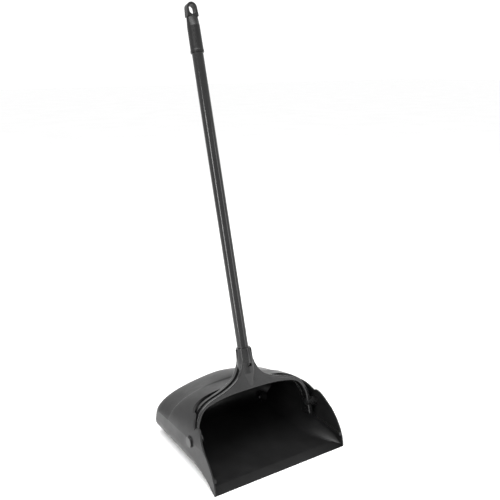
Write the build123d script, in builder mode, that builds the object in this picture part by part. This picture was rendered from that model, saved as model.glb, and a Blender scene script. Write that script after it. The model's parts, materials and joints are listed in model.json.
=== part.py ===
"""Upright lobby dustpan, in millimetres.

A hooded pan has two small wheels under its rear corners. A yoke straddles the pan's mouth,
swings on two headed pins through the side walls, and carries a long coated tube with a hand
grip at its top. X is the width, +Y points to the back and +Z up. The front lip stands on the
floor at y = 0, z = 0, and the pan is symmetrical about x = 0.
"""

from build123d import *
import os
from math import cos, exp, radians, sin, sqrt

# ---------------------------------------------------------------- driving sizes
PAN_HALF = 162.0        # half of the pan's width at the side walls
PAN_DEPTH = 300.0       # from the lip to the back of the hood
HOOD_EDGE = 141.0       # hood's height at its front edge, on the centre line
HOOD_EDGE_Y = 148.0     # hood's front edge, behind the lip
LIP_FLARE = 1.5         # how much wider the lip is, on each side
CORNER_R = 45.0         # bottom corners along the rear half
SHOULDER_Z = 60.0       # below this the side walls stand straight
WALL = 2.8              # moulded walls and floor
LIP = 0.6               # floor's thickness at the lip

PIVOT_Y = 102.0         # axis on which the yoke swings
PIVOT_Z = 69.0
LEAN = 15.0             # degrees that the yoke and handle lean back at rest
TOTAL_HEIGHT = 940.0    # floor to the top of the hand grip

YOKE_FRONT = 4.0        # yoke's front face, forward of the pivot axis
YOKE_DEPTH = 28.0       # front face to rear face
YOKE_RIDGE = 5.0        # front ridge, forward of the groove round the outside
GROOVE = 4.4            # depth of the groove round the outside
POCKET = 3.0            # hollow along the inside of the arch
POCKET_RIM = 5.0
LEG_IN = 137.0          # inner and outer faces of the yoke's legs
LEG_OUT = 149.0
TUBE_SET_BACK = 10.0    # tube's axis, behind the pivot axis
TUBE_R = 12.5           # over the coating
COAT = 0.6
TUBE_WALL = 1.0
GRIP_LENGTH = 106.0

WHEEL_R = 10.0
WHEEL_W = 8.0
WHEEL_X = 126.0
WHEEL_Y = 272.0
AXLE_R = 2.0

RUN = 0.05              # radial clearance of a running fit
GAP = 0.4               # clearance between neighbours that move

# ---------------------------------------------------------------- derived sizes
TILT = radians(LEAN)
GRIP_TOP = (TOTAL_HEIGHT - PIVOT_Z + TUBE_SET_BACK * sin(TILT)) / cos(TILT)
GRIP_FOOT = GRIP_TOP - GRIP_LENGTH
SOCKET_TOP = 159.0      # heights along the handle, above the pivot axis
SOCKET_FLOOR = 92.0
SOCKET_SHOULDER = 128.0
BUTTON_HEIGHT = 122.0
TUBE_TOP = GRIP_TOP - 52.0
SOCKET_R = 19.0
SOCKET_RIM_R = 16.4

TUBE_CORE_R = TUBE_R - COAT
EYE_HALF_DEPTH = 7.0    # half the thickness of the grip's eye

BUTTON_R = 2.7
BUTTON_FACE = -TUBE_SET_BACK + TUBE_R + 3.0
LEAF = 0.8              # button's leaf spring
LEAF_W = 6.0
LEAF_REACH = 8.8        # from the tube's axis to the middle of the leaf's front arm
LEAF_BACK = 6.6         # and of its rear arm
LEAF_FACE = -TUBE_SET_BACK + LEAF_REACH + LEAF / 2

PIN_R = 6.0
BOSS_R = 13.0
BOSS_FACE = 154.6       # inner end of the bearing boss
PAD_FACE = 163.0        # outer end of the bearing boss
HEAD_R = 11.0
HEAD = 2.2

WELL_R = WHEEL_R + 1.5
WELL_HALF = WHEEL_W / 2 + 1.2
WELL_WALL = 2.0
WELL_IN = WHEEL_X - WELL_HALF - WELL_WALL
WELL_OUT = WHEEL_X + WELL_HALF + WELL_WALL

# The yoke's plane holds the pivot axis and leans back with the handle: local x runs across,
# local y up the handle, and local z forward.
YOKE_PLANE = Plane(
    origin=(0, PIVOT_Y, PIVOT_Z),
    x_dir=(1, 0, 0),
    z_dir=(0, -cos(TILT), sin(TILT)),
)
FORWARD = Axis(YOKE_PLANE.origin, YOKE_PLANE.z_dir)
UP_HANDLE = Axis(YOKE_PLANE.origin, YOKE_PLANE.y_dir)


def across_handle(height):
    """Plane square to the handle's axis at a height along it, facing up the handle."""
    centre = YOKE_PLANE.from_local_coords(Vector(0, height, -TUBE_SET_BACK))
    return Plane(origin=centre, x_dir=(1, 0, 0), z_dir=(0, sin(TILT), cos(TILT)))


def across_pan(x, y, z):
    """Plane square to the pan's width, facing outwards on either side of the pan."""
    return Plane(origin=(x, y, z), x_dir=(0, 1, 0), z_dir=(1 if x > 0 else -1, 0, 0))


# ---------------------------------------------------------------- pan
def hood_height(x, crest, fullness):
    """Top of the hood at width x: an arch that a greater fullness makes flatter and squarer."""
    share = min(abs(x) / (PAN_HALF + 1), 1)
    return SHOULDER_Z + (crest - SHOULDER_Z) * sqrt(1 - share**fullness)


def hood_back(x):
    """Back of the pan at width x, drawn in at the rounded rear corners."""
    share = abs(x) / (PAN_HALF + 1)
    return PAN_DEPTH - 34 * (1 - sqrt(1 - share**4))


def scroll(inset):
    """Body under the hood: side profiles lofted across the width, set in by the wall."""
    half_stations = [0, 0.25, 0.5, 0.7, 0.83, 0.92, 0.98, 1]
    stations = [-share for share in reversed(half_stations[1:])] + half_stations
    with BuildPart() as body:
        for share in stations:
            x = share * PAN_HALF
            front = hood_height(x, HOOD_EDGE + 17, 3.5) - inset
            edge = hood_height(x, HOOD_EDGE, 3.5) - inset
            middle = hood_height(x, HOOD_EDGE - 9, 2.4) - inset
            rear = hood_height(x, HOOD_EDGE - 17, 1.5) - inset
            back = hood_back(x) - inset
            with BuildSketch(Plane.YZ.offset(share * (PAN_HALF - inset))):
                with BuildLine():
                    rise = Spline(
                        (back - 30, inset),
                        (back, inset + 46),
                        (back - 0.3 * (back - 248), 46 + 0.76 * (rear - 46)),
                        (248, rear),
                        (200, middle),
                        (HOOD_EDGE_Y, edge),
                        tangents=[(1, 0.05), (80 - HOOD_EDGE_Y, front - edge)],
                    )
                    Polyline(
                        rise @ 1,
                        (80, front),
                        (-40, front),
                        (-40, -20),
                        (back - 30, -20),
                        rise @ 0,
                    )
                make_face()
        loft()
    return body.part


def corner_radius(y):
    """Bottom corners of the pan: sharp at the lip and round towards the back."""
    return 4 + (CORNER_R - 4) * (1 - exp(-((y / 45) ** 1.3)))


def tray(inset, bottom):
    """Straight-sided body with those bottom corners, open to the front."""
    with BuildPart() as body:
        for y in (0, 14, 28, 42, 56, 75, 100, 130, 170, 210, 250, 300):
            with BuildSketch(Plane.XZ.offset(-y)) as section:
                with Locations((0, bottom)):
                    Rectangle(
                        2 * (PAN_HALF + LIP_FLARE * exp(-y / 30) - inset),
                        220,
                        align=(Align.CENTER, Align.MIN),
                    )
                low_corners = section.vertices().group_by(Axis.Y)[0]
                fillet(low_corners, corner_radius(y) - inset)
        loft()
    return body.part


with BuildPart() as pan_outside:
    add(scroll(0))
    add(tray(0, -1), mode=Mode.INTERSECT)
    # Flat underside.
    with Locations((0, PAN_DEPTH / 2, -5)):
        Box(3 * PAN_HALF, 2 * PAN_DEPTH, 10, mode=Mode.SUBTRACT)

with BuildPart() as pan_inside:
    add(scroll(WALL))
    add(tray(WALL, WALL), mode=Mode.INTERSECT)

# Lumps on the inside of the walls: bearing bosses, entry guides, side ridges, wheel housings.
with BuildPart() as pan_lumps:
    for side in (-1, 1):
        with BuildSketch(across_pan(side * BOSS_FACE, PIVOT_Y, PIVOT_Z)):
            Circle(BOSS_R)
        extrude(amount=6)
        with Locations(
            (side * 159, PIVOT_Y - BOSS_R + 1, PIVOT_Z + 20),
            (side * 159, PIVOT_Y + BOSS_R - 1, PIVOT_Z + 20),
        ):
            Box(5, 2, 40)
        with Locations((side * 158, 50, 29)):
            Box(7, 92, 6)
        with BuildSketch(across_pan(side * WELL_IN, WHEEL_Y, WHEEL_R)):
            Circle(WELL_R + WELL_WALL)
            Rectangle(
                2 * (WELL_R + WELL_WALL),
                WHEEL_R,
                align=(Align.CENTER, Align.MIN if side < 0 else Align.MAX),
            )
        extrude(amount=WELL_OUT - WELL_IN)
    add(pan_outside.part, mode=Mode.INTERSECT)

with BuildPart() as pan:
    add(pan_outside.part)
    add(pan_inside.part, mode=Mode.SUBTRACT)
    add(pan_lumps.part)
    # Flat outer faces for the pin heads.
    for side in (-1, 1):
        with BuildSketch(across_pan(side * (BOSS_FACE + 3), PIVOT_Y, PIVOT_Z)):
            Circle(BOSS_R)
        extrude(amount=PAD_FACE - BOSS_FACE - 3)
    # Mouth: the ears slope up from the lip to a rounded top, a notch parts each from the
    # hood, and the hood's edge sweeps back over the yoke.
    with BuildSketch(Plane.YZ.offset(-PAN_HALF - 20)):
        with BuildLine():
            ear = Spline((0, 2), (9, 36), (32, 66), (60, 90), (79, 104.5), (89, 103))
            notch = Spline(ear @ 1, (94, 98), (98, 100), (107, 107.5), (126, 115.5))
            edge = Spline(notch @ 1, (140, 120.5), (146, 127), (HOOD_EDGE_Y, 137), (149, 150))
            Polyline(edge @ 1, (150, 250), (-60, 250), (-60, 2), ear @ 0)
        make_face()
    extrude(amount=2 * PAN_HALF + 40, mode=Mode.SUBTRACT)
    # Floor thins to a wedge at the lip.
    with BuildSketch(Plane.YZ.offset(WALL - PAN_HALF)):
        Polygon((-1, LIP), (26, WALL), (26, WALL + 1), (-1, WALL + 1), align=None)
    extrude(amount=2 * (PAN_HALF - WALL), mode=Mode.SUBTRACT)
    for side in (-1, 1):
        with BuildSketch(across_pan(side * (BOSS_FACE - 1), PIVOT_Y, PIVOT_Z)):
            Circle(PIN_R + RUN)
        extrude(amount=20, mode=Mode.SUBTRACT)
        with BuildSketch(across_pan(side * (WHEEL_X - WELL_HALF), WHEEL_Y, WHEEL_R)):
            Circle(WELL_R)
            Rectangle(
                2 * WELL_R,
                WHEEL_R + 5,
                align=(Align.CENTER, Align.MIN if side < 0 else Align.MAX),
            )
        extrude(amount=2 * WELL_HALF, mode=Mode.SUBTRACT)
        with BuildSketch(across_pan(side * (WELL_IN - 1), WHEEL_Y, WHEEL_R)):
            Circle(AXLE_R)
        extrude(amount=WELL_OUT - WELL_IN + 2, mode=Mode.SUBTRACT)


# ---------------------------------------------------------------- yoke
def inner_arch(grow):
    """Right half of the arch's inner line, from its crown down to the leg, moved outwards."""
    return Spline(
        (0, 68 + grow),
        (58, 66.5 + grow),
        (99, 60 + grow),
        (120, 51 + 0.8 * grow),
        (132 + 0.7 * grow, 34),
        (LEG_IN + grow, 10),
        tangents=[(1, 0), (0, -1)],
    )


def outer_line(inset):
    """Right half of the yoke's outer line, from the leg to the side of the neck, moved in."""
    return Spline(
        (LEG_OUT - inset, 4),
        (140 - 0.9 * inset, 38 - 0.4 * inset),
        (119 - 0.5 * inset, 61.5 - 0.9 * inset),
        (78 - 0.3 * inset, 76.5 - inset),
        (43 - 0.5 * inset, 91 - 0.9 * inset),
        (27 - 0.8 * inset, 105 - 0.6 * inset),
        (18.5 - 0.9 * inset, 121 - 0.4 * inset),
        (12.5 - 0.9 * inset, 142 - 0.4 * inset),
        tangents=[(0, 1), (-0.25, 1)],
    )


with BuildPart() as yoke:
    # Front view: two legs, the arch, and the neck that rises to the socket.
    with BuildSketch(YOKE_PLANE.offset(YOKE_FRONT - YOKE_DEPTH)):
        with BuildLine():
            inner = inner_arch(0)
            Line(inner @ 1, (LEG_IN, -24))
            ThreePointArc((LEG_IN, -24), ((LEG_IN + LEG_OUT) / 2, -30), (LEG_OUT, -24))
            Line((LEG_OUT, -24), (LEG_OUT, 4))
            outer = outer_line(0)
            Polyline(outer @ 1, (0, 142), inner @ 0)
        make_face()
        mirror(about=Plane.YZ)
    extrude(amount=YOKE_DEPTH)
    # Soft front and rear outlines, all but the neck's top, which lies inside the socket.
    for face, radius in ((0, 3.2), (-1, 3.0)):
        plate = yoke.faces().sort_by(FORWARD)[face]
        fillet(plate.edges().sort_by(UP_HANDLE)[:-1], radius)
    # Groove round the outside, behind the front ridge.
    for inset, half_width in ((0.4 * GROOVE, 5.4), (0.8 * GROOVE, 4.2), (GROOVE, 2.8)):
        middle = YOKE_FRONT - YOKE_RIDGE - 5.4
        with BuildSketch(YOKE_PLANE.offset(middle - half_width)):
            with BuildLine():
                bed = outer_line(inset)
                Polyline(bed @ 1, (60, 160), (180, 100), (180, 4), bed @ 0)
            make_face()
            mirror(about=Plane.YZ)
        extrude(amount=2 * half_width, mode=Mode.SUBTRACT)
    # Shallow pocket along the inside of the arch.
    with BuildSketch(YOKE_PLANE.offset(YOKE_FRONT - YOKE_DEPTH + POCKET_RIM)):
        with BuildLine():
            bed = inner_arch(POCKET)
            Polyline(bed @ 1, (0, 10), bed @ 0)
        make_face()
        mirror(about=Plane.YZ)
    extrude(amount=YOKE_DEPTH - 2 * POCKET_RIM, mode=Mode.SUBTRACT)
    # Socket: a round neck that swells out of the plates and narrows to its rim.
    for low, low_r, high, high_r in (
        (76, 14, 104, SOCKET_R),
        (104, SOCKET_R, SOCKET_SHOULDER, SOCKET_R),
        (SOCKET_SHOULDER, SOCKET_R, SOCKET_TOP, SOCKET_RIM_R),
    ):
        with BuildSketch(across_handle(low)):
            Circle(low_r)
        with BuildSketch(across_handle(high)):
            Circle(high_r)
        loft()
    # Upright ribs round the upper half of the socket.
    for angle in range(-90, 91, 45):
        with BuildSketch(across_handle(SOCKET_SHOULDER)):
            with Locations(Rotation(0, 0, angle)):
                with Locations((0, -SOCKET_RIM_R)):
                    Rectangle(2.2, 4.6)
        extrude(amount=SOCKET_TOP - SOCKET_SHOULDER - 2)
    with BuildSketch(across_handle(SOCKET_FLOOR)):
        Circle(TUBE_R)
    extrude(amount=100, mode=Mode.SUBTRACT)
    # Window for the lock button, through the front of the socket.
    with BuildSketch(YOKE_PLANE.offset(-TUBE_SET_BACK)):
        with Locations((0, BUTTON_HEIGHT)):
            Rectangle(10, 6.6)
    extrude(amount=SOCKET_R + 2, mode=Mode.SUBTRACT)
    # Bores through the legs for the pivot pins.
    with BuildSketch(Plane.YZ.offset(-LEG_OUT - 5)):
        with Locations((PIVOT_Y, PIVOT_Z)):
            Circle(PIN_R)
    extrude(amount=2 * LEG_OUT + 10, mode=Mode.SUBTRACT)

# ---------------------------------------------------------------- handle
with BuildPart() as handle_tube:
    with BuildSketch(across_handle(SOCKET_FLOOR + 0.2)):
        Circle(TUBE_CORE_R)
        Circle(TUBE_CORE_R - TUBE_WALL, mode=Mode.SUBTRACT)
    extrude(amount=TUBE_TOP - SOCKET_FLOOR - 0.4)
    with BuildSketch(YOKE_PLANE.offset(-TUBE_SET_BACK)):
        with Locations((0, BUTTON_HEIGHT)):
            Circle(BUTTON_R + 0.4)
    extrude(amount=TUBE_R + 2, mode=Mode.SUBTRACT)

with BuildPart() as tube_coating:
    with BuildSketch(across_handle(SOCKET_FLOOR + 0.2)):
        Circle(TUBE_R)
        Circle(TUBE_CORE_R, mode=Mode.SUBTRACT)
    extrude(amount=TUBE_TOP - SOCKET_FLOOR - 0.4)
    with BuildSketch(YOKE_PLANE.offset(-TUBE_SET_BACK)):
        with Locations((0, BUTTON_HEIGHT)):
            Circle(BUTTON_R + 0.4)
    extrude(amount=TUBE_R + 2, mode=Mode.SUBTRACT)

# Sprung button that locks the tube in the socket: it stands in the window.
with BuildPart() as lock_button:
    with BuildSketch(YOKE_PLANE.offset(LEAF_FACE)):
        with Locations((0, BUTTON_HEIGHT)):
            Circle(BUTTON_R)
    extrude(amount=BUTTON_FACE - LEAF_FACE)
    fillet(lock_button.faces().sort_by(FORWARD)[-1].edges(), 1.0)

# Leaf bent double inside the tube, pressing the button outwards.
with BuildPart() as button_spring:
    with BuildSketch(Plane.YZ.offset(-LEAF_W / 2)):
        with BuildLine():
            leaf = [
                YOKE_PLANE.from_local_coords(Vector(0, height, forward))
                for height, forward in (
                    (BUTTON_HEIGHT + 6, LEAF_FACE - LEAF / 2),
                    (BUTTON_HEIGHT - 18, LEAF_FACE - LEAF / 2),
                    (BUTTON_HEIGHT - 24, -TUBE_SET_BACK),
                    (BUTTON_HEIGHT - 18, -TUBE_SET_BACK - LEAF_BACK),
                    (BUTTON_HEIGHT + 4, -TUBE_SET_BACK - LEAF_BACK),
                )
            ]
            front = Line((leaf[0].Y, leaf[0].Z), (leaf[1].Y, leaf[1].Z))
            bend = ThreePointArc(
                front @ 1,
                (leaf[2].Y, leaf[2].Z),
                (leaf[3].Y, leaf[3].Z),
            )
            Line(bend @ 1, (leaf[4].Y, leaf[4].Z))
        trace(line_width=LEAF)
    extrude(amount=LEAF_W)

# ---------------------------------------------------------------- hand grip
with BuildPart() as hand_grip:
    for low, low_r, high, high_r in (
        (0, 14.75, 4, 14.75),
        (4, 14.75, 7, 14.1),
        (7, 14.1, 56, 13.8),
    ):
        with BuildSketch(across_handle(GRIP_FOOT + low)):
            Circle(low_r)
        with BuildSketch(across_handle(GRIP_FOOT + high)):
            Circle(high_r)
        loft()
    # The grip flattens into the hang-up eye.
    with BuildSketch(across_handle(GRIP_FOOT + 56)):
        Ellipse(13.8, 13.8)
    with BuildSketch(across_handle(GRIP_FOOT + 68)):
        Ellipse(13.5, 9.6)
    with BuildSketch(across_handle(GRIP_TOP - 28)):
        Ellipse(13.2, EYE_HALF_DEPTH)
    loft()
    with BuildSketch(YOKE_PLANE.offset(-TUBE_SET_BACK - EYE_HALF_DEPTH)):
        with BuildLine():
            flank = Line((13.2, GRIP_TOP - 30), (11.6, GRIP_TOP - 11))
            crown = ThreePointArc(flank @ 1, (0, GRIP_TOP), (-11.6, GRIP_TOP - 11))
            Polyline(crown @ 1, (-13.2, GRIP_TOP - 30), flank @ 0)
        make_face()
    extrude(amount=2 * EYE_HALF_DEPTH)
    with BuildSketch(YOKE_PLANE.offset(-TUBE_SET_BACK - 20)):
        with Locations((0, GRIP_TOP - 15.5)):
            SlotCenterToCenter(5, 15, rotation=90)
    extrude(amount=40, mode=Mode.SUBTRACT)
    with BuildSketch(across_handle(GRIP_FOOT - 1)):
        Circle(TUBE_R)
    extrude(amount=TUBE_TOP - GRIP_FOOT + 1.2, mode=Mode.SUBTRACT)

# ---------------------------------------------------------------- pivots
for side, hand in ((-1, "left"), (1, "right")):
    # Headed pin: the head lies outside the side wall, the shank runs in the boss and is a
    # press fit in the yoke's leg.
    with BuildPart() as pivot_pin:
        with BuildSketch(across_pan(side * (LEG_IN - 3.4), PIVOT_Y, PIVOT_Z)):
            Circle(PIN_R)
        extrude(amount=PAD_FACE + GAP - LEG_IN + 3.4 + 0.2)
        with BuildSketch(across_pan(side * (PAD_FACE + GAP), PIVOT_Y, PIVOT_Z)):
            Circle(HEAD_R)
        extrude(amount=HEAD)
        fillet(pivot_pin.faces().sort_by(Axis((0, 0, 0), (side, 0, 0)))[-1].edges(), 1.0)
        # Groove for the retaining ring.
        with BuildSketch(across_pan(side * (LEG_IN - 1.8), PIVOT_Y, PIVOT_Z)):
            Circle(PIN_R + 1)
            Circle(PIN_R - 0.8, mode=Mode.SUBTRACT)
        extrude(amount=1.3, mode=Mode.SUBTRACT)
    pivot_pin.part.label = f"pivot_pin_{hand}"

    with BuildPart() as pivot_spacer:
        with BuildSketch(across_pan(side * LEG_OUT, PIVOT_Y, PIVOT_Z)):
            Circle(PIN_R + 3.5)
            Circle(PIN_R + RUN, mode=Mode.SUBTRACT)
        extrude(amount=BOSS_FACE - LEG_OUT - GAP)
    pivot_spacer.part.label = f"pivot_spacer_{hand}"

    with BuildPart() as pivot_ring:
        with BuildSketch(across_pan(side * (LEG_IN - 1.7), PIVOT_Y, PIVOT_Z)):
            Circle(PIN_R + 3)
            Circle(PIN_R - 0.7, mode=Mode.SUBTRACT)
            with Locations((0, -PIN_R - 2)):
                Rectangle(7, 8, mode=Mode.SUBTRACT)
        extrude(amount=1.1)
    pivot_ring.part.label = f"pivot_ring_{hand}"

    # ------------------------------------------------------------ rear wheels
    with BuildPart() as wheel:
        with BuildSketch(across_pan(side * (WHEEL_X - WHEEL_W / 2), WHEEL_Y, WHEEL_R)):
            Circle(WHEEL_R)
        extrude(amount=WHEEL_W)
        fillet(wheel.edges(), 1.2)
        for face_x, turn in ((WHEEL_X - WHEEL_W / 2, 1), (WHEEL_X + WHEEL_W / 2, -1)):
            with BuildSketch(across_pan(side * face_x, WHEEL_Y, WHEEL_R)):
                Circle(WHEEL_R - 2.6)
                Circle(AXLE_R + 1.8, mode=Mode.SUBTRACT)
            extrude(amount=turn * 2.4, mode=Mode.SUBTRACT)
        with BuildSketch(across_pan(side * (WHEEL_X - WHEEL_W), WHEEL_Y, WHEEL_R)):
            Circle(AXLE_R + RUN)
        extrude(amount=2 * WHEEL_W, mode=Mode.SUBTRACT)
    wheel.part.label = f"wheel_{hand}"

    with BuildPart() as axle:
        with BuildSketch(across_pan(side * WELL_IN, WHEEL_Y, WHEEL_R)):
            Circle(AXLE_R)
        extrude(amount=WELL_OUT - WELL_IN + 2.2)
        with BuildSketch(across_pan(side * WELL_IN, WHEEL_Y, WHEEL_R)):
            Circle(3.4)
        extrude(amount=-1.6)
        fillet(axle.faces().sort_by(Axis((0, 0, 0), (-side, 0, 0)))[-1].edges(), 0.8)
    axle.part.label = f"axle_{hand}"

    with BuildPart() as axle_nut:
        with BuildSketch(across_pan(side * (WELL_OUT + 0.1), WHEEL_Y, WHEEL_R)):
            Circle(3.0)
            Circle(AXLE_R, mode=Mode.SUBTRACT)
        extrude(amount=1.0)
    axle_nut.part.label = f"axle_nut_{hand}"

    os.makedirs("parts", exist_ok=True)
    export_step(pivot_pin.part, f"parts/pivot_pin_{hand}.step")
    export_step(pivot_spacer.part, f"parts/pivot_spacer_{hand}.step")
    export_step(pivot_ring.part, f"parts/pivot_ring_{hand}.step")
    export_step(wheel.part, f"parts/wheel_{hand}.step")
    export_step(axle.part, f"parts/axle_{hand}.step")
    export_step(axle_nut.part, f"parts/axle_nut_{hand}.step")

# ---------------------------------------------------------------- labels and files
pan.part.label = "pan"
export_step(pan.part, "parts/pan.step")
yoke.part.label = "yoke"
export_step(yoke.part, "parts/yoke.step")
handle_tube.part.label = "handle_tube"
export_step(handle_tube.part, "parts/handle_tube.step")
tube_coating.part.label = "tube_coating"
export_step(tube_coating.part, "parts/tube_coating.step")
lock_button.part.label = "lock_button"
export_step(lock_button.part, "parts/lock_button.step")
button_spring.part.label = "button_spring"
export_step(button_spring.part, "parts/button_spring.step")
hand_grip.part.label = "hand_grip"
export_step(hand_grip.part, "parts/hand_grip.step")
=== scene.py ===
"""Looks of the upright lobby dustpan: moulded black plastics, coated tube, steel and rubber.

Everything is in metres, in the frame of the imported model. X runs across the pan, +Y to its
back and +Z up, with the lip's lower edge at the origin.
"""

import bpy
import json
from math import cos, pi, radians, sin
from mathutils import Matrix, Vector


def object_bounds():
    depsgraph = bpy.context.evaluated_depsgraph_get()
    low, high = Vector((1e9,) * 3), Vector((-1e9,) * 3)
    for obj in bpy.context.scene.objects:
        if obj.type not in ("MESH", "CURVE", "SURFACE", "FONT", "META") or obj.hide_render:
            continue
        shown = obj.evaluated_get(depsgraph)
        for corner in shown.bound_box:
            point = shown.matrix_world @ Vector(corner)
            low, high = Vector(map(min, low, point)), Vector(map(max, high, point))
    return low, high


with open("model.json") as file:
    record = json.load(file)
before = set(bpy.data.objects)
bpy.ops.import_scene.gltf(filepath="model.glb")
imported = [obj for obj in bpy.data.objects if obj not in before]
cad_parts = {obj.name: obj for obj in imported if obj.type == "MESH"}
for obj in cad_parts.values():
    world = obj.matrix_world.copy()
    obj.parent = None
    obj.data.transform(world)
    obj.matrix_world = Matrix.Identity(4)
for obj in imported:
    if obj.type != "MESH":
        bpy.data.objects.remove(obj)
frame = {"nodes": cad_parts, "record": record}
cad_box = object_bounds()

# ---------------------------------------------------------------- camera, turns and levels
CAMERA_AT = (-0.6774, -0.9634, 0.8068)
CAMERA_YAW = 32.06          # degrees to the right of straight ahead
CAMERA_DOWN = 15.71         # degrees below the horizon
CAMERA_ROLL = -0.75
CAMERA_LENS = 46.8          # mm, on a 36 mm sensor

HANDLE_TURN = (radians(15.0), 0.0, 0.0)     # lays a texture's z along the handle
ACROSS_TURN = (0.0, radians(90.0), 0.0)     # and along the pins and axles

FLOOR_DARK = (0.94, 0.94, 0.94, 1.0)
FLOOR_LIGHT = (0.97, 0.97, 0.97, 1.0)
FLOOR_SIZE = 60.0
FRONT_SKY = 0.95            # strength of the world in front of the object
BACK_SKY = 1.15             # and behind it


# ---------------------------------------------------------------- node helpers
def grey(level):
    """Opaque neutral colour."""
    return (level, level, level * 1.02, 1.0)


def start_material(name):
    """Empty node material: its tree, its main shader and a coordinate in metres."""
    material = bpy.data.materials.new(name)
    material.use_nodes = True
    tree = material.node_tree
    tree.nodes.clear()
    output = tree.nodes.new("ShaderNodeOutputMaterial")
    shader = tree.nodes.new("ShaderNodeBsdfPrincipled")
    tree.links.new(shader.outputs["BSDF"], output.inputs["Surface"])
    place = tree.nodes.new("ShaderNodeTexCoord")
    return material, tree, shader, place.outputs["Object"]


def stretched(tree, place, scale, turn=(0.0, 0.0, 0.0)):
    """Coordinate stretched by a scale on each axis after a turn, for streaks along a part."""
    mapping = tree.nodes.new("ShaderNodeMapping")
    mapping.inputs["Rotation"].default_value = turn
    mapping.inputs["Scale"].default_value = scale
    tree.links.new(place, mapping.inputs["Vector"])
    return mapping.outputs["Vector"]


def noise(tree, place, scale, detail=3.0, roughness=0.5):
    """Noise between about 0.3 and 0.7, with features of 1 / scale metres."""
    texture = tree.nodes.new("ShaderNodeTexNoise")
    texture.inputs["Scale"].default_value = scale
    texture.inputs["Detail"].default_value = detail
    texture.inputs["Roughness"].default_value = roughness
    tree.links.new(place, texture.inputs["Vector"])
    return texture.outputs["Fac"]


def spread(tree, value, low, high, to_low, to_high):
    """Value carried from one range to another, held at both ends."""
    remap = tree.nodes.new("ShaderNodeMapRange")
    remap.inputs["From Min"].default_value = low
    remap.inputs["From Max"].default_value = high
    remap.inputs["To Min"].default_value = to_low
    remap.inputs["To Max"].default_value = to_high
    tree.links.new(value, remap.inputs["Value"])
    return remap.outputs["Result"]


def two_tone(tree, value, low, high, dark, light):
    """Colour that runs from dark to light as the value goes from low to high."""
    ramp = tree.nodes.new("ShaderNodeValToRGB")
    ramp.color_ramp.elements[0].position = low
    ramp.color_ramp.elements[0].color = dark
    ramp.color_ramp.elements[1].position = high
    ramp.color_ramp.elements[1].color = light
    tree.links.new(value, ramp.inputs["Fac"])
    return ramp.outputs["Color"]


def bumped(tree, shader, layers):
    """Relief from (height, strength, distance) layers, one on top of the other."""
    normal = None
    for height, strength, distance in layers:
        bump = tree.nodes.new("ShaderNodeBump")
        bump.inputs["Strength"].default_value = strength
        bump.inputs["Distance"].default_value = distance
        tree.links.new(height, bump.inputs["Height"])
        if normal is not None:
            tree.links.new(normal, bump.inputs["Normal"])
        normal = bump.outputs["Normal"]
    tree.links.new(normal, shader.inputs["Normal"])


# ---------------------------------------------------------------- materials
def moulded_plastic(name, dark, light, smooth, rough, grain, shine=0.5):
    """Black satin moulding: mottled tone, rubbed patches and a fine sparked grain.

    dark and light bound the tone, smooth and rough the roughness, grain is the strength of
    the fine relief and shine the specular level.
    """
    material, tree, shader, place = start_material(name)
    shader.inputs["Specular IOR Level"].default_value = shine
    mottle = noise(tree, place, 14.0, detail=5.0)
    tree.links.new(
        two_tone(tree, mottle, 0.35, 0.68, grey(dark), grey(light)),
        shader.inputs["Base Color"],
    )
    rubbed = noise(tree, place, 38.0, detail=6.0, roughness=0.6)
    tree.links.new(
        spread(tree, rubbed, 0.3, 0.7, smooth, rough), shader.inputs["Roughness"]
    )
    sparked = noise(tree, place, 1500.0, detail=2.0)
    sink = noise(tree, place, 22.0, detail=1.0)
    bumped(tree, shader, [(sink, 0.12, 0.002), (sparked, grain, 0.0002)])
    return material


def coated_tube(name):
    """Smooth black coating, drawn along the tube, with faint rub marks round it."""
    material, tree, shader, place = start_material(name)
    shader.inputs["Specular IOR Level"].default_value = 0.35
    shader.inputs["Coat Weight"].default_value = 0.15
    shader.inputs["Coat Roughness"].default_value = 0.12
    along = stretched(tree, place, (900.0, 900.0, 6.0), HANDLE_TURN)
    around = stretched(tree, place, (40.0, 40.0, 700.0), HANDLE_TURN)
    streaks = noise(tree, along, 1.0, detail=2.0)
    rubs = noise(tree, around, 1.0, detail=3.0)
    tree.links.new(
        two_tone(tree, noise(tree, place, 9.0), 0.35, 0.65, grey(0.004), grey(0.008)),
        shader.inputs["Base Color"],
    )
    tree.links.new(
        spread(tree, rubs, 0.35, 0.7, 0.14, 0.26), shader.inputs["Roughness"]
    )
    bumped(tree, shader, [(streaks, 0.08, 0.0002)])
    return material


def turned_steel(name, level, smooth, rough, turn):
    """Bare or plated steel with fine marks along its length."""
    material, tree, shader, place = start_material(name)
    shader.inputs["Metallic"].default_value = 1.0
    lines = noise(tree, stretched(tree, place, (2500.0, 2500.0, 30.0), turn), 1.0)
    tone = noise(tree, place, 60.0, detail=4.0)
    tree.links.new(
        two_tone(tree, tone, 0.3, 0.7, grey(level * 0.8), grey(level)),
        shader.inputs["Base Color"],
    )
    tree.links.new(
        spread(tree, lines, 0.3, 0.7, smooth, rough), shader.inputs["Roughness"]
    )
    bumped(tree, shader, [(lines, 0.15, 0.0001)])
    return material


def wheel_rubber(name):
    """Dull rubber with dust in its surface and small scuffs."""
    material, tree, shader, place = start_material(name)
    dust = noise(tree, place, 90.0, detail=6.0, roughness=0.7)
    tree.links.new(
        two_tone(tree, dust, 0.4, 0.75, grey(0.018), grey(0.06)),
        shader.inputs["Base Color"],
    )
    tree.links.new(spread(tree, dust, 0.3, 0.7, 0.6, 0.85), shader.inputs["Roughness"])
    bumped(tree, shader, [(noise(tree, place, 700.0, detail=4.0), 0.4, 0.0004)])
    return material


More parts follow.
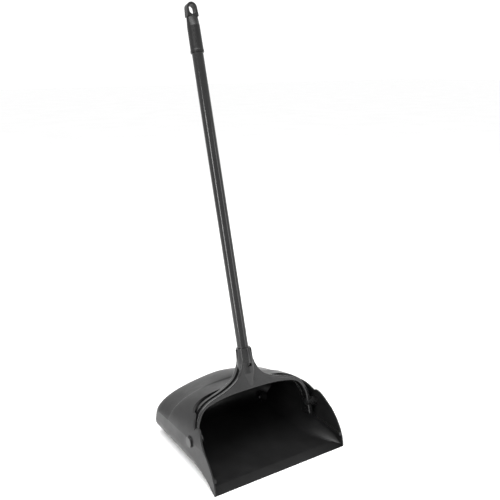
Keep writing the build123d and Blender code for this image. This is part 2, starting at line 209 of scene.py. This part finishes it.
materials = {
    "pan_plastic": moulded_plastic("pan_satin", 0.005, 0.008, 0.34, 0.44, 0.25, 0.3),
    "yoke_plastic": moulded_plastic("yoke_satin", 0.004, 0.007, 0.18, 0.28, 0.15, 0.52),
    "grip_plastic": moulded_plastic("grip_satin", 0.004, 0.007, 0.3, 0.42, 0.3, 0.3),
    "pin_plastic": moulded_plastic("pin_satin", 0.006, 0.01, 0.28, 0.4, 0.1),
    "spacer_plastic": moulded_plastic("spacer_satin", 0.006, 0.01, 0.35, 0.5, 0.1),
    "button_plastic": moulded_plastic("button_gloss", 0.006, 0.01, 0.15, 0.3, 0.05),
    "tube_coating": coated_tube("tube_gloss"),
    "tube_steel": turned_steel("tube_drawn", 0.6, 0.25, 0.4, HANDLE_TURN),
    "spring_steel": turned_steel("spring_bright", 0.55, 0.2, 0.3, HANDLE_TURN),
    "ring_steel": turned_steel("ring_oxide", 0.08, 0.35, 0.5, ACROSS_TURN),
    "axle_steel": turned_steel("axle_plated", 0.5, 0.25, 0.4, ACROSS_TURN),
    "wheel_rubber": wheel_rubber("wheel_rubber_dull"),
}

for entry in frame["record"]["subparts"]:
    node = frame["nodes"][entry["node"]]
    node.data.materials.clear()
    node.data.materials.append(materials[entry["material_slot"]])

# ---------------------------------------------------------------- floor
floor_height = cad_box[0].z
bpy.ops.mesh.primitive_plane_add(size=FLOOR_SIZE, location=(0.0, 0.0, floor_height))
floor = bpy.context.object
floor.name = "studio_floor"
floor_material, floor_tree, floor_shader, floor_place = start_material("floor_pale")
floor_shader.inputs["Roughness"].default_value = 0.9
floor_tree.links.new(
    two_tone(
        floor_tree,
        noise(floor_tree, floor_place, 2.0),
        0.3,
        0.7,
        FLOOR_DARK,
        FLOOR_LIGHT,
    ),
    floor_shader.inputs["Base Color"],
)
floor.data.materials.append(floor_material)

# ---------------------------------------------------------------- light
# The studio is a little brighter behind the object than in front of it.
world = bpy.data.worlds.new("studio")
world.use_nodes = True
bpy.context.scene.world = world
sky = world.node_tree
sky.nodes["Background"].inputs["Color"].default_value = (1.0, 1.0, 1.0, 1.0)
sky_place = sky.nodes.new("ShaderNodeTexCoord").outputs["Generated"]
sky_split = sky.nodes.new("ShaderNodeSeparateXYZ")
sky.links.new(sky_place, sky_split.inputs["Vector"])
sky.links.new(
    spread(sky, sky_split.outputs["Y"], -0.4, 0.7, FRONT_SKY, BACK_SKY),
    sky.nodes["Background"].inputs["Strength"],
)


def soft_box(name, at, target, width, height, radiance):
    """Rectangular area light of a given brightness that faces the target."""
    data = bpy.data.lights.new(name, "AREA")
    data.shape = "RECTANGLE"
    data.size = width
    data.size_y = height
    data.energy = radiance * width * height * pi
    lamp = bpy.data.objects.new(name, data)
    lamp.location = at
    lamp.rotation_euler = (Vector(target) - Vector(at)).to_track_quat("-Z", "Y").to_euler()
    bpy.context.scene.collection.objects.link(lamp)


soft_box("left_box", (-1.9, -0.7, 0.75), (0.0, 0.1, 0.2), 0.25, 1.3, 20.0)
soft_box("right_box", (1.5, -1.9, 0.9), (0.0, 0.1, 0.3), 0.6, 1.4, 4.0)
soft_box("top_box", (-0.5, -0.1, 2.4), (0.0, 0.1, 0.0), 1.5, 1.9, 7.0)

# ---------------------------------------------------------------- camera
camera_data = bpy.data.cameras.new("camera")
camera_data.sensor_width = 36.0
camera_data.lens = CAMERA_LENS
camera = bpy.data.objects.new("camera", camera_data)
bpy.context.scene.collection.objects.link(camera)
yaw, down, roll = radians(CAMERA_YAW), radians(CAMERA_DOWN), radians(CAMERA_ROLL)
ahead = Vector((sin(yaw) * cos(down), cos(yaw) * cos(down), -sin(down)))
level_right = Vector((cos(yaw), -sin(yaw), 0.0))
level_up = level_right.cross(ahead)
right = cos(roll) * level_right + sin(roll) * level_up
up = -sin(roll) * level_right + cos(roll) * level_up
camera.matrix_world = Matrix.Translation(CAMERA_AT) @ Matrix(
    (right, up, -ahead)
).transposed().to_4x4()
bpy.context.scene.camera = camera
bpy.context.scene.view_settings.view_transform = "Standard"
